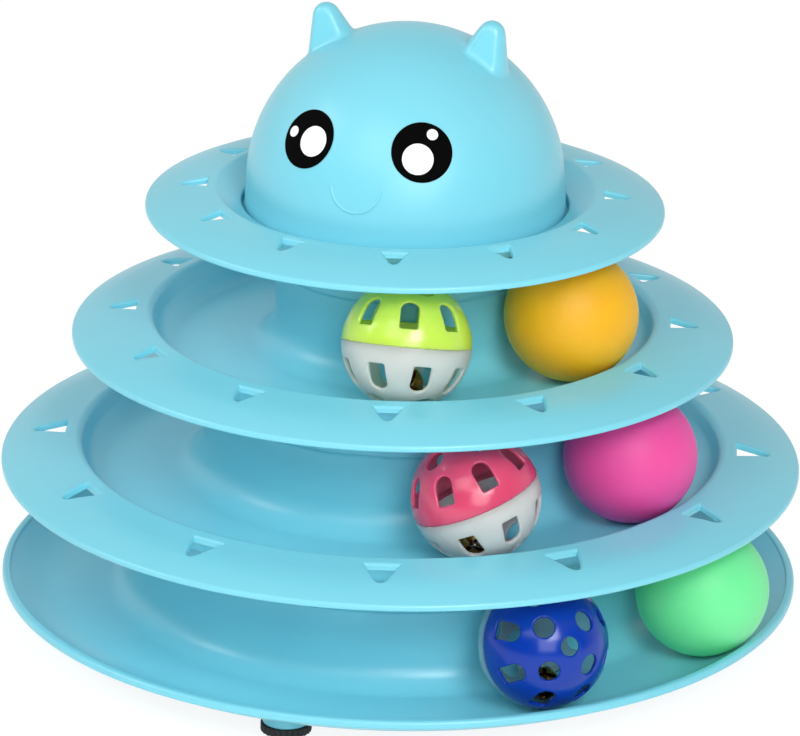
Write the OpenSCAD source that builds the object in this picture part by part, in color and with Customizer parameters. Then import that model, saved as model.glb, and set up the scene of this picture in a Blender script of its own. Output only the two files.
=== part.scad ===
// Tower of ball tracks for cats. A base tray and two tiers each carry a round track with
// one openwork bell ball and one plain ball. A vented disc and a cat-head dome close the
// top. The pieces push together, ring into ring, with no screws.
// Lengths are millimetres. The feet stand on z = 0 and the face looks along -Y. A place
// round the tower is an angle from the face, counted towards +X.

/* [Balls] */
// Outer diameter of a plain ball
plain_ball_d = 40.8; // [39:0.2:43]
// Wall of a plain ball
plain_wall = 1; // [0.8:0.1:1.6]
// How much smaller a bell ball is than a plain ball
bell_ball_less = 1.8; // [1:0.1:3]
// Wall of a bell ball's half shells
shell_wall = 1.2; // [1:0.1:1.6]
// Outer diameter of the jingle bell inside a bell ball
jingle_d = 10.4; // [9:0.2:14]
// Diameter of the pellet inside a jingle bell
pellet_d = 3.8; // [3:0.1:5]
// Play between a ball and the hub that it runs round
hub_play = 0.8; // [0.5:0.1:1.5]
// The same play for the plain ball in the wide base track
tray_play = 2.6; // [0.5:0.1:3]

/* [Ball places] */
// Angle of the middle tier's bell ball from the face
lime_angle = 19.6; // [0:0.1:360]
// Angle of the lower tier's bell ball from the face
pink_angle = 34.5; // [0:0.1:360]
// Angle of the base tray's bell ball from the face
blue_angle = 43.2; // [0:0.1:360]
// Gap between the two balls of the middle tier
middle_ball_gap = 16.2; // [1:0.1:60]
// Gap between the two balls of the lower tier
lower_ball_gap = 17.9; // [1:0.1:90]
// Gap between the two balls of the base tray
tray_ball_gap = 24.7; // [1:0.1:120]

/* [Tower] */
// Diameter of the base tray and of the lower tier
base_d = 248; // [240:1:256]
// How far the middle tier's rim lies inside the lower tier's rim
middle_in = 22; // [18:0.5:26]
// How far the top disc's rim lies inside the middle tier's rim
top_in = 22.5; // [18:0.5:26]
// Wall of every large moulding
wall = 2; // [1.6:0.1:2.6]
// Height that a tier adds beyond the plain ball's diameter
pitch_spare = 0.2; // [0:0.1:3]
// Floor of a tier's track above the seam that the tier stands on
floor_h = 16.1; // [15:0.1:17]
// Middle of a tier's rim above the same seam
rim_h = 18.2; // [17:0.1:19]
// Width of a tier's flange, from its crest to its rim, as a share of the plain ball's diameter
flange_share = 0.5735; // [0.54:0.0005:0.62]
// How much narrower a tier's track is than the plain ball, which overhangs the crest
track_tuck = 1.6; // [0:0.1:2]

/* [Base tray] */
// Track of the tray beyond the plain ball's diameter
tray_spare = 0.2; // [0:0.1:2]
// How much lower the tray's hub stands over its track than the tiers' hubs
tray_drop = 0.7; // [0:0.1:2]
// Top of the lip above the tray's track
lip_rise = 6.7; // [5:0.1:8]
// Height of the lip's outer band
lip_h = 2.5; // [2:0.1:3.5]
// Width of the lip
lip_w = 2.6; // [2:0.1:3.5]
// Step from the lip down to the track's slope
lip_step = 0.8; // [0.4:0.1:1.2]

/* [Feet] */
// Distance of each foot's axis from the tray's rim
foot_in = 21; // [16:0.5:26]
// Diameter of a rubber pad
pad_d = 15.3; // [13:0.1:18]
// Height of a rubber pad
pad_h = 2.7; // [2:0.1:5]
// Scallops round a pad's edge
pad_scallops = 26; // [16:1:32]
// Diameter of a foot boss
boss_d = 14.2; // [12:0.1:16]
// Height of a foot boss below the tray
boss_h = 3.1; // [2.5:0.1:5]
// Diameter of the plug on a pad
plug_d = 5; // [4:0.1:7]
// Length of the plug on a pad
plug_h = 2.5; // [1.5:0.1:2.8]

/* [Vents] */
// Vents in each disc
vent_count = 12; // [8:1:14]
// Length of a vent in the lower tier
lower_vent_l = 12; // [9:0.1:13]
// Width of a vent in the lower tier
lower_vent_w = 12.6; // [9:0.1:15]
// Length of a vent in the middle tier
middle_vent_l = 10; // [8:0.1:12]
// Width of a vent in the middle tier
middle_vent_w = 10.8; // [8:0.1:13]
// Length of a vent in the top disc
top_vent_l = 9.3; // [7:0.1:11]
// Width of a vent in the top disc
top_vent_w = 9.6; // [7:0.1:11]

/* [Head] */
// Width of the top disc's flange, from its crest to its rim
top_flange_w = 20.6; // [19:0.1:22]
// Seat of the head above the seam under the top disc
head_seat_h = 17.3; // [16.5:0.1:19]
// Depth of the recess that the head stands in
recess_h = 2.7; // [2:0.1:4]
// Width of the top disc's shoulder, from its crest to the head's recess
head_shoulder_w = 8.8; // [7:0.1:12]
// Height of the dome's skirt, from its seat to the middle of its sphere
dome_skirt_h = 8.9; // [7:0.1:11]
// How far the skirt flares out at its foot
dome_flare = 0.5; // [0.2:0.1:1]
// Gap round the dome's foot in its recess
dome_gap = 0.8; // [0.5:0.1:1.5]

/* [Ears] */
// Angle of an ear's tip from the top of the dome
ear_angle = 28; // [24:0.5:32]
// Distance of an ear's tip centre outside the dome
ear_reach = 7.4; // [5:0.1:9]
// Radius of an ear's tip
ear_tip_r = 4.2; // [3.4:0.1:5]
// Angle between an ear's axis and its side
ear_slope = 20.6; // [16:0.1:25]
// Angle that an ear leans outwards
ear_lean = 15.7; // [10:0.1:20]
// Distance from an ear's tip centre to its flat front
ear_front = 3.5; // [3:0.1:4]
// Angle that an ear's flat front leans back
ear_front_lean = 13.2; // [8:0.1:18]
// Wall of the hollow ears
ear_wall = 1.6; // [1.2:0.1:2]

/* [Face] */
// Diameter of an eye sticker as a share of the dome's diameter
eye_share = 0.1875; // [0.15:0.0005:0.2]
// Angle of an eye from the middle of the face
eye_turn = 24.7; // [20:0.1:30]
// Angle of an eye above the middle of the dome's sphere
eye_rise = 28.2; // [24:0.1:34]
// Diameter of an eye's large light as a share of the eye's diameter
big_light_share = 0.546; // [0.4:0.001:0.6]
// Diameter of an eye's small light as a share of the eye's diameter
small_light_share = 0.2; // [0.15:0.001:0.25]
// Radius of the smile as a share of the dome's diameter
smile_share = 0.079; // [0.06:0.001:0.09]
// Angle of the smile's centre above the middle of the dome's sphere
smile_rise = 14.7; // [12:0.1:17]
// Half the angle that the smile sweeps
smile_sweep = 86; // [70:1:90]
// Radius of the smile's raised ridge
smile_ridge_r = 0.55; // [0.4:0.05:0.8]

/* [Hidden] */
$fn = 120;

// Steps in each rounded corner of an outline
arc_steps = 8;
// Share of an outline's edge that a rounded corner may take
room_share = 0.98;
// How far a cut runs past the surface that it cuts
overrun = 1;
// Air under a loose piece that rests on another
rest_gap = 0.3;
// Air between a ring and the ring that it pushes into
ring_play = 0.3;
// Chamfer along the seams between the mouldings
seam_chamfer = 0.3;

// Half a turn and a quarter of one
half_turn = 180;
quarter_turn = half_turn / 2;

// Radii
plain_r = plain_ball_d / 2;
bell_ball_d = plain_ball_d - bell_ball_less;
bell_r = bell_ball_d / 2;
base_r = base_d / 2;
middle_r = base_r - middle_in;
top_r = middle_r - top_in;
flange_w = plain_ball_d * flange_share;
lower_crest_r = base_r - flange_w;
middle_crest_r = middle_r - flange_w;
top_crest_r = top_r - top_flange_w;
track_w = plain_ball_d - track_tuck;
tray_hub_r = base_r - plain_ball_d - tray_spare;
lower_hub_r = lower_crest_r - track_w;
middle_hub_r = middle_crest_r - track_w;
recess_r = top_crest_r - head_shoulder_w;
dome_r = recess_r - dome_gap - dome_flare;
dome_d = 2 * dome_r;
foot_place_r = base_r - foot_in;

// Heights
pitch = plain_ball_d + pitch_spare;
tray_floor_z = pad_h + boss_h + wall;
lower_seat_z = tray_floor_z + pitch - floor_h - tray_drop;
middle_seat_z = lower_seat_z + pitch;
top_seat_z = middle_seat_z + pitch;
lower_floor_z = lower_seat_z + floor_h;
middle_floor_z = middle_seat_z + floor_h;
head_seat_z = top_seat_z + head_seat_h;
dome_z = head_seat_z + dome_skirt_h;

// Outline of a tier: rounding where the track meets the hub and the outer wall, the
// outer wall's run, its crest and the flange's knee, all counted from the rim's middle
hub_fillet = 9;
track_fillet = 11;
wall_run = 4;
crest_in = 1;
crest_rise = 6.8;
crest_fillet = 2.5;
knee_in = 8.5;
knee_rise = 4.75;
knee_fillet = 40;
rim_rise = wall / 2;
rim_fillet = wall / 2;
top_crest_in = 0.6;
top_crest_rise = 6.1;
recess_fillet = 1;
recess_foot_share = 0.75;

// Outline of the tray
tray_hub_fillet = 8.5;
tray_slope_run = 12;
tray_fillet = 20;
lip_inner_fillet = 0.7;
lip_outer_fillet = 1.1;
lip_foot_fillet = 0.6;

// Rings that hold the mouldings together
spigot_wall = 1.6;
spigot_rise = 6;
spigot_drop = 4;
spigot_gap = 1;
head_ring_h = 5;

// Vents
vent_corner_r = 0.8;
lower_vent_apex_r = 2.8;
middle_vent_apex_r = 2.6;
top_vent_apex_r = 2.3;
vent_in = 3;
top_vent_in = 1.1;

// Feet
bore_play = 0.1;
bore_spare = 0.3;
scallop_d = 1.5;

// Bell balls: eight slots with one round end, four round holes and a hole at each pole
slot_count = 8;
slot_polar = 60;
slot_w = 5.4;
slot_l = 8.8;
hole_count = 4;
hole_polar = 29;
hole_d = 6.2;
pole_hole_d = 5.7;
lip_depth = 1.2;
shell_lip_share = 0.45;
shell_lip_wall = shell_wall * shell_lip_share;
shell_lip_play = 0.05;
// Tilt of each ball's coloured pole, the way it tilts, and the turn of each half about its own pole
lime_tilt = 17;
lime_turn = 95;
lime_spin_turn = 35.7;
lime_pale_spin_turn = 37.6;
pink_tilt = 23.5;
pink_turn = 188.3;
pink_spin_turn = 55.6;
pink_pale_spin_turn = 29.6;
blue_tilt = 71.3;
blue_turn = -47;
blue_spin_turn = 45.3;
blue_clear_spin_turn = 30;

// Jingle bell and pellet
jingle_wall = 0.5;
jingle_slot_w = 1.2;
jingle_slot_top = 1.4;
jingle_end_d = 2.2;
// Where the slots' crossing points: its angle from the face, its rise, and the cross's own turn
lime_bell_way = 28;
lime_bell_rise = 13;
lime_bell_twist = 30;
pink_bell_way = 13;
pink_bell_rise = -7;
pink_bell_twist = 45;
blue_bell_way = 33;
blue_bell_rise = 53;
blue_bell_twist = 8;
pellet_gap = 0.2;
jingle_drop = bell_r - shell_wall - rest_gap - jingle_d / 2;
pellet_drop = jingle_d / 2 - jingle_wall - pellet_gap - pellet_d / 2;

// Face
eye_d = dome_d * eye_share;
big_light_d = eye_d * big_light_share;
small_light_d = eye_d * small_light_share;
smile_r = dome_d * smile_share;
sticker_gap = 0.05;
sticker_h = 0.2;
light_h = 0.1;
big_light_out_share = 0.139;
small_light_out_share = 0.339;
big_light_out = eye_d * big_light_out_share;
small_light_out = eye_d * small_light_out_share;
right_light_turn = 58;
left_light_turn = 172;
ear_back = 0.2;
ear_root = 16;

// Distance of each ball from the axis
lime_r = middle_hub_r + hub_play + bell_r;
orange_r = middle_hub_r + hub_play + plain_r;
pink_r = lower_hub_r + hub_play + bell_r;
magenta_r = lower_hub_r + hub_play + plain_r;
blue_r = tray_hub_r + hub_play + bell_r;
green_r = tray_hub_r + tray_play + plain_r;

// Angle between two balls of one track, at distances a and b from the axis
function apart(a, b, gap) =
    let (d = bell_r + plain_r + gap) acos(max(-1, (a * a + b * b - d * d) / (2 * a * b)));
orange_angle = lime_angle + apart(lime_r, orange_r, middle_ball_gap);
magenta_angle = pink_angle + apart(pink_r, magenta_r, lower_ball_gap);
green_angle = blue_angle + apart(blue_r, green_r, tray_ball_gap);

// Outlines are lists of [distance from the axis, height, rounding]
function at(p) = [p[0], p[1]];
function toward(a, b) = (at(b) - at(a)) / norm(at(b) - at(a));
function right_of(v) = [v[1], -v[0]];
function flip(list) = [for (i = [len(list) - 1:-1:0]) list[i]];
function first(list, count) = [for (i = [0:count - 1]) list[i]];
function rest(list) = [for (i = [1:len(list) - 1]) list[i]];

// Room for a rounded corner on the edge from b to its neighbour
function room(b, other) = room_share * norm(at(other) - at(b)) / (other[2] > 0 ? 2 : 1);

// The points that round the corner b between a and c
function corner(a, b, c) =
    b[2] <= 0 ? [at(b)] :
    let (
        u = toward(b, a),
        v = toward(b, c),
        half = acos(max(-1, min(1, u * v))) / 2,
        reach = min(b[2] / tan(half), room(b, a), room(b, c)),
        radius = reach * tan(half),
        centre = at(b) + toward([0, 0], u + v) * radius / sin(half),
        start = at(b) + u * reach - centre,
        from = atan2(start[1], start[0]),
        sweep = (half_turn - 2 * half) * sign(cross(-u, v))
    )
    [for (k = [0:arc_steps]) let (a = from + sweep * k / arc_steps) centre + radius * [cos(a), sin(a)]];

// A closed outline with its corners rounded
function rounded(list) =
    let (n = len(list))
    [for (i = [0:n - 1]) each corner(list[(i + n - 1) % n], list[i], list[(i + 1) % n])];

// The line that runs one wall below an open outline, with roundings about the same centres
function below(list, depth) =
    let (n = len(list))
    [for (i = [0:n - 1])
        let (
            u = i > 0 ? toward(list[i - 1], list[i]) : toward(list[i], list[i + 1]),
            v = i < n - 1 ? toward(list[i], list[i + 1]) : u,
            m = right_of(u),
            w = right_of(v),
            p = at(list[i]) + depth * (m + w) / (1 + m * w),
            bend = list[i][2] > 0 ? max(0, list[i][2] + sign(cross(u, v)) * depth) : 0
        )
        [p[0], p[1], bend]];

// Points of a line at a given distance from the axis, and at a given height
function at_radius(a, b, r) = [r, a[1] + (b[1] - a[1]) * (r - a[0]) / (b[0] - a[0])];
function at_height(a, b, z) = [a[0] + (b[0] - a[0]) * (z - a[1]) / (b[1] - a[1]), z];

// A moulding of one wall's thickness: its upper line runs from the hub's top or the
// inner edge to the rim's upper edge, and the rim's lower edge is rounded the same way.
// The head list takes the place of the line's first point.
function moulding(upper, head) =
    let (
        n = len(upper),
        lower = below(upper, wall),
        edge = at_radius(lower[n - 2], lower[n - 1], upper[n - 1][0])
    )
    concat(head, rest(upper), [[edge[0], edge[1], rim_fillet]], flip(first(lower, n - 1)));

// Chamfered outer edge of a hub's top, at the seam under the next piece
function hub_head(hub_r, seam_z) = [[hub_r - seam_chamfer, seam_z, 0], [hub_r, seam_z - seam_chamfer, 0]];

// Upper line of a tier
function tier_line(hub_r, crest_r, rim_r, seat_z, seam_z) = [
    [hub_r, seam_z, 0],
    [hub_r, seat_z + floor_h, hub_fillet],
    [crest_r - crest_in - wall_run, seat_z + floor_h, track_fillet],
    [crest_r - crest_in, seat_z + rim_h + crest_rise, crest_fillet],
    [rim_r - knee_in, seat_z + rim_h + knee_rise, knee_fillet],
    [rim_r, seat_z + rim_h + rim_rise, rim_fillet]
];

// Upper line of the top disc
function disc_line(inner_r, recess_r, crest_r, rim_r) = [
    [inner_r, head_seat_z, 0],
    [recess_r, head_seat_z, dome_gap * recess_foot_share],
    [recess_r, head_seat_z + recess_h, recess_fillet],
    [crest_r - top_crest_in, top_seat_z + rim_h + top_crest_rise, crest_fillet],
    [rim_r - knee_in, top_seat_z + rim_h + knee_rise, knee_fillet],
    [rim_r, top_seat_z + rim_h + rim_rise, rim_fillet]
];

// A body of revolution from a closed list of outline points
module turned(outline) {
    rotate_extrude() polygon(rounded(outline));
}

// Tube with a chamfer on the foot of its outer face
module skirt(outer_r, foot_z, head_z) {
    turned([
        [outer_r - wall, foot_z, 0],
        [outer_r - seam_chamfer, foot_z, 0],
        [outer_r, foot_z + seam_chamfer, 0],
        [outer_r, head_z, 0],
        [outer_r - wall, head_z, 0]
    ]);
}

// Ring inside a hub that stands up into the skirt of the piece above
module spigot(hub_r, seam_z) {
    outer_r = hub_r - wall - ring_play;
    turned([
        [outer_r - spigot_wall, seam_z - spigot_drop, 0],
        [hub_r - wall / 2, seam_z - spigot_drop, 0],
        [hub_r - wall / 2, seam_z - spigot_gap, 0],
        [outer_r, seam_z - spigot_gap, 0],
        [outer_r, seam_z + spigot_rise - seam_chamfer, 0],
        [outer_r - seam_chamfer, seam_z + spigot_rise, 0],
        [outer_r - spigot_wall, seam_z + spigot_rise, 0]
    ]);
}

// Outline of one vent: a flat inner side, straight flanks and a round nose
function vent_outline(length, width, nose_r) =
    let (
        reach = length - nose_r,
        flank = atan2(width / 2, reach) - asin(nose_r / norm([reach, width / 2]))
    )
    rounded([
        [0, -width / 2, vent_corner_r],
        [0, width / 2, vent_corner_r],
        [width / 2 / tan(flank), 0, nose_r]
    ]);

// Ring of vents cut through a flange
module vents(inner_r, length, width, nose_r, from_z, to_z) {
    for (k = [0:vent_count - 1])
        rotate([0, 0, (k + 1 / 2) * 360 / vent_count])
            translate([inner_r, 0, from_z])
                linear_extrude(height = to_z - from_z) polygon(vent_outline(length, width, nose_r));
}

// Track, hub, flange and skirt of one tier in one moulding
module tier(hub_r, crest_r, rim_r, skirt_r, seat_z, vent_l, vent_w, nose_r) {
    seam_z = seat_z + pitch;
    difference() {
        union() {
            turned(moulding(tier_line(hub_r, crest_r, rim_r, seat_z, seam_z), hub_head(hub_r, seam_z)));
            spigot(hub_r, seam_z);
            skirt(skirt_r, seat_z, seat_z + floor_h - wall / 2);
        }
        vents(crest_r + vent_in, vent_l, vent_w, nose_r, seat_z + rim_h - wall, seat_z + rim_h + crest_rise + overrun);
    }
}

// Place round the tower
module around(angle, r, z) {
    translate([r * sin(angle), -r * cos(angle), z]) children();
}

// Frame on the dome: local z points out of it and local y points up
module on_dome(turn, rise) {
    translate([0, 0, dome_z]) rotate([0, 0, turn]) rotate([90 - rise, 0, 0]) children();
}

module base_tray() {
    slope_foot = [base_r - tray_slope_run, tray_floor_z, tray_fillet];
    slope_head = [base_r - lip_w, tray_floor_z + lip_rise - lip_step, 0];
    upper = [[tray_hub_r, lower_seat_z, 0], [tray_hub_r, tray_floor_z, tray_hub_fillet], slope_foot, slope_head];
    lower = below(upper, wall);
    lip_foot_z = tray_floor_z + lip_rise - lip_h;
    tuck = at_height(lower[2], lower[3], lip_foot_z);
    color("#8bdcf0") difference() {
        union() {
            turned(concat(
                hub_head(tray_hub_r, lower_seat_z),
                rest(upper),
                [
                    [base_r - lip_w, tray_floor_z + lip_rise, lip_inner_fillet],
                    [base_r, tray_floor_z + lip_rise, lip_outer_fillet],
                    [base_r, lip_foot_z, lip_foot_fillet],
                    [tuck[0], tuck[1], 0]
                ],
                flip(first(lower, 3))
            ));
            spigot(tray_hub_r, lower_seat_z);
            for (angle = [0:90:270])
                around(angle, foot_place_r, pad_h) cylinder(d = boss_d, h = boss_h + wall / 2);
        }
        for (angle = [0:90:270])
            around(angle, foot_place_r, pad_h - overrun) cylinder(d = plug_d + 2 * bore_play, h = plug_h + bore_spare + overrun);
    }
}

// Rubber pad with a scalloped edge and a plug
module foot(angle) {
    color("#1c1c1e") around(angle, foot_place_r, 0) union() {
        difference() {
            cylinder(d = pad_d, h = pad_h);
            for (k = [0:pad_scallops - 1])
                rotate([0, 0, k * 360 / pad_scallops])
                    translate([(pad_d + scallop_d) / 2 - scallop_d / 4, 0, -overrun])
                        cylinder(d = scallop_d, h = pad_h + 2 * overrun, $fn = 24);
        }
        translate([0, 0, pad_h / 2]) cylinder(d = plug_d, h = pad_h / 2 + plug_h);
    }
}

module foot_front() { foot(0); }
module foot_right() { foot(90); }
module foot_rear() { foot(180); }
module foot_left() { foot(270); }

module lower_tier() {
    color("#8bdcf0") tier(lower_hub_r, lower_crest_r, base_r, tray_hub_r, lower_seat_z, lower_vent_l, lower_vent_w, lower_vent_apex_r);
}

module middle_tier() {
    color("#8bdcf0") tier(middle_hub_r, middle_crest_r, middle_r, lower_hub_r, middle_seat_z, middle_vent_l, middle_vent_w, middle_vent_apex_r);
}

// Vented disc with the head's recess, the ring that centres the head and a skirt
module top_disc() {
    ring_r = dome_r - wall - ring_play;
    line = disc_line(middle_hub_r - wall, recess_r, top_crest_r, top_r);
    color("#8bdcf0") difference() {
        union() {
            turned(moulding(line, [line[0]]));
            skirt(middle_hub_r, top_seat_z, head_seat_z - wall / 2);
            turned([
                [ring_r - wall, head_seat_z - wall / 2, 0],
                [ring_r, head_seat_z - wall / 2, 0],
                [ring_r, head_seat_z + head_ring_h - seam_chamfer, 0],
                [ring_r - seam_chamfer, head_seat_z + head_ring_h, 0],
                [ring_r - wall, head_seat_z + head_ring_h, 0]
            ]);
        }
        vents(top_crest_r + top_vent_in, top_vent_l, top_vent_w, top_vent_apex_r,
            top_seat_z + rim_h - wall, top_seat_z + rim_h + top_crest_rise + overrun);
    }
}

// Space inside the dome's faces, moved in from its outer face by inset
module dome_space(inset, foot_z) {
    difference() {
        translate([0, 0, dome_z]) sphere(r = dome_r - inset);
        translate([0, 0, dome_z - dome_d]) cylinder(r = dome_d, h = dome_d);
    }
    skirt_h = dome_z - foot_z;
    translate([0, 0, foot_z])
        cylinder(r1 = dome_r - inset + dome_flare * skirt_h / dome_skirt_h, r2 = dome_r - inset, h = skirt_h);
}

// Space inside an ear's faces, moved in by inset: a cone with a round tip and a flat front
module ear_space(side, inset) {
    tip_r = ear_tip_r - inset;
    foot_r = tip_r * cos(ear_slope) + (tip_r * sin(ear_slope) + ear_root) * tan(ear_slope);
    tip_out = dome_r + ear_reach;
    translate([side * tip_out * sin(ear_angle), ear_back, dome_z + tip_out * cos(ear_angle)]) rotate([0, side * ear_lean, 0]) difference() {
        rotate_extrude() polygon(concat(
            [[0, -ear_root], [foot_r, -ear_root]],
            [for (k = [0:arc_steps]) let (a = ear_slope + (90 - ear_slope) * k / arc_steps) tip_r * [cos(a), sin(a)]]
        ));
        rotate([-ear_front_lean, 0, 0])
            translate([-dome_r, inset - ear_front - dome_r, -dome_r])
                cube([dome_d, dome_r, dome_d]);
    }
}

// Hollow head with two ears and a raised smile
module head_dome() {
    smile_out = sqrt(dome_r * dome_r - smile_r * smile_r);
    color("#8bdcf0") difference() {
        union() {
            dome_space(0, head_seat_z);
            for (side = [-1, 1]) ear_space(side, 0);
            on_dome(0, smile_rise) translate([0, 0, smile_out]) {
                rotate([0, 0, -90 - smile_sweep]) rotate_extrude(angle = 2 * smile_sweep)
                    translate([smile_r, 0]) circle(r = smile_ridge_r);
            }
        }
        dome_space(wall, head_seat_z - overrun);
        for (side = [-1, 1]) ear_space(side, ear_wall);
    }
}

// Thin round patch that follows the dome, from one height over it to another
module patch(turn, rise, width, from_h, thick, out, way) {
    on_dome(turn, rise) intersection() {
        difference() {
            sphere(r = dome_r + from_h + thick);
            sphere(r = dome_r + from_h);
        }
        translate([out * cos(way), out * sin(way), dome_r / 2]) cylinder(d = width, h = dome_r);
    }
}

module eye(turn) {
    color("#141416") patch(turn, eye_rise, eye_d, sticker_gap, sticker_h, 0, 0);
}

// White prints on an eye: the small light lies across the eye's centre from the large one
module eye_lights(turn, way) {
    light_z = 2 * sticker_gap + sticker_h;
    color("#f8fafa") {
        patch(turn, eye_rise, big_light_d, light_z, light_h, big_light_out, way + half_turn);
        patch(turn, eye_rise, small_light_d, light_z, light_h, small_light_out, way);
    }
}

module left_eye() { eye(-eye_turn); }
module right_eye() { eye(eye_turn); }
module left_eye_lights() { eye_lights(-eye_turn, left_light_turn); }
module right_eye_lights() { eye_lights(eye_turn, right_light_turn); }

module plain_ball(angle, r, floor_z) {
    around(angle, r, floor_z + rest_gap + plain_r) difference() {
        sphere(r = plain_r);
        sphere(r = plain_r - plain_wall);
    }
}

module orange_ball() { color("#f59a2d") plain_ball(orange_angle, orange_r, middle_floor_z); }
module magenta_ball() { color("#dc4f9b") plain_ball(magenta_angle, magenta_r, lower_floor_z); }
module green_ball() { color("#5fdc86") plain_ball(green_angle, green_r, tray_floor_z); }

// Slot with a flat side towards the equator and a round side towards the pole
module slot() {
    translate([0, -slot_w / 2, 0])
        translate([slot_w / 2 - slot_l / 2, 0, 0]) cube([slot_l - slot_w / 2, slot_w, bell_ball_d]);
    translate([slot_w / 2 - slot_l / 2, 0, 0]) cylinder(d = slot_w, h = bell_ball_d);
}

// Openwork half shell on the +Z side: one half has a lip, the other a rebate for it
module half_shell(lip) {
    inner_r = bell_r - shell_wall;
    difference() {
        union() {
            difference() {
                sphere(r = bell_r);
                sphere(r = inner_r);
                translate([0, 0, -bell_ball_d]) cylinder(r = bell_ball_d, h = bell_ball_d);
            }
            if (lip) difference() {
                translate([0, 0, -lip_depth]) cylinder(r = inner_r + shell_lip_wall, h = lip_depth + shell_lip_wall);
                translate([0, 0, -lip_depth - overrun]) cylinder(r = inner_r, h = lip_depth + shell_lip_wall + 2 * overrun);
            }
        }
        if (!lip)
            translate([0, 0, -overrun])
                cylinder(r = inner_r + shell_lip_wall + shell_lip_play, h = overrun + lip_depth + shell_lip_play);
        for (k = [0:slot_count - 1]) rotate([0, slot_polar, (k + 1 / 2) * 360 / slot_count]) slot();
        for (k = [0:hole_count - 1]) rotate([0, hole_polar, k * 360 / hole_count]) cylinder(d = hole_d, h = bell_ball_d);
        cylinder(d = pole_hole_d, h = bell_ball_d);
    }
}

// Place of a bell ball: its centre, and its coloured pole up
module in_ball(angle, r, floor_z, tilt, turn) {
    around(angle, r, floor_z + rest_gap + bell_r) rotate([0, tilt, turn]) children();
}

module in_lime_ball() { in_ball(lime_angle, lime_r, middle_floor_z, lime_tilt, lime_turn) children(); }
module in_pink_ball() { in_ball(pink_angle, pink_r, lower_floor_z, pink_tilt, pink_turn) children(); }
module in_blue_ball() { in_ball(blue_angle, blue_r, tray_floor_z, blue_tilt, blue_turn) children(); }

// The two halves of a ball: the coloured one with its lip, and the pale one upside down
module coloured(spin) { rotate([0, 0, spin]) half_shell(true); }
module pale(spin) { rotate([half_turn, 0, 0]) rotate([0, 0, spin]) half_shell(false); }

module lime_half() { color("#c4f95c") in_lime_ball() coloured(lime_spin_turn); }
module lime_ball_pale_half() { color("#eef7ee") in_lime_ball() pale(lime_pale_spin_turn); }
module pink_half() { color("#ff4f73") in_pink_ball() coloured(pink_spin_turn); }
module pink_ball_pale_half() { color("#eef7ee") in_pink_ball() pale(pink_pale_spin_turn); }
module blue_half() { color("#1c4cb8") in_blue_ball() coloured(blue_spin_turn); }
module blue_ball_clear_half() { color("#dcecf4") in_blue_ball() pale(blue_clear_spin_turn); }

// Round bell with two crossed slots on one side, each with round ends; it lies as it rolled
module jingle(angle, r, floor_z, way, rise, twist) {
    jingle_r = jingle_d / 2;
    color("#c9c9c4") around(angle, r, floor_z + rest_gap + bell_r - jingle_drop)
        rotate([-quarter_turn - rise, 0, way]) rotate([0, 0, twist]) difference() {
        sphere(r = jingle_r);
        sphere(r = jingle_r - jingle_wall);
        for (a = [0, 90]) rotate([0, 0, a]) {
            translate([-jingle_d, -jingle_slot_w / 2, -jingle_d])
                cube([2 * jingle_d, jingle_slot_w, jingle_d - jingle_slot_top]);
            translate([-jingle_d, 0, -jingle_slot_top]) rotate([0, 90, 0]) cylinder(d = jingle_end_d, h = 2 * jingle_d);
        }
    }
}

module lime_ball_bell() { jingle(lime_angle, lime_r, middle_floor_z, lime_bell_way, lime_bell_rise, lime_bell_twist); }
module pink_ball_bell() { jingle(pink_angle, pink_r, lower_floor_z, pink_bell_way, pink_bell_rise, pink_bell_twist); }
module blue_ball_bell() { jingle(blue_angle, blue_r, tray_floor_z, blue_bell_way, blue_bell_rise, blue_bell_twist); }

module pellet(angle, r, floor_z) {
    color("#8f9296") around(angle, r, floor_z + rest_gap + bell_r - jingle_drop - pellet_drop) sphere(d = pellet_d);
}

module lime_bell_pellet() { pellet(lime_angle, lime_r, middle_floor_z); }
module pink_bell_pellet() { pellet(pink_angle, pink_r, lower_floor_z); }
module blue_bell_pellet() { pellet(blue_angle, blue_r, tray_floor_z); }

base_tray();
foot_front();
foot_right();
foot_rear();
foot_left();
lower_tier();
middle_tier();
top_disc();
head_dome();
left_eye();
right_eye();
left_eye_lights();
right_eye_lights();
orange_ball();
magenta_ball();
green_ball();
lime_half();
lime_ball_pale_half();
pink_half();
pink_ball_pale_half();
blue_half();
blue_ball_clear_half();
lime_ball_bell();
pink_ball_bell();
blue_ball_bell();
lime_bell_pellet();
pink_bell_pellet();
blue_bell_pellet();
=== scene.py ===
# Cat ball track toy: the finished look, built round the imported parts.
# Everything is modelled in millimetres and brought to metres when a piece is finished.
import bpy
import bmesh
import math
from mathutils import Matrix, Vector


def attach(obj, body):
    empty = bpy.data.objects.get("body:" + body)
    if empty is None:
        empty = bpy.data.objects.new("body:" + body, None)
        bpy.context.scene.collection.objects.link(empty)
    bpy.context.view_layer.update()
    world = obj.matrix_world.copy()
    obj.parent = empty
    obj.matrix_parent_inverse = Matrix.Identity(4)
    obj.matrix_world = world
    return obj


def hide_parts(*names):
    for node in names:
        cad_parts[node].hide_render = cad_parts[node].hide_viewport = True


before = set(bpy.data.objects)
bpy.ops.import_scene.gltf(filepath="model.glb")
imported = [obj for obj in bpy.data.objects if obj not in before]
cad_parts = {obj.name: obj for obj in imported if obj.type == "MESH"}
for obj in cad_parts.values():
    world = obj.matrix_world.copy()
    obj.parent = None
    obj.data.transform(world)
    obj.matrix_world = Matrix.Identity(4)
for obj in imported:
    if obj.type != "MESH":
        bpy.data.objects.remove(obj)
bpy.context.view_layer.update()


# Small helpers

def toLinear(code):
    parts = [int(code[i:i + 2], 16) / 255 for i in (1, 3, 5)]
    return [c / 12.92 if c <= 0.04045 else ((c + 0.055) / 1.055) ** 2.4 for c in parts] + [1.0]


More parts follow.
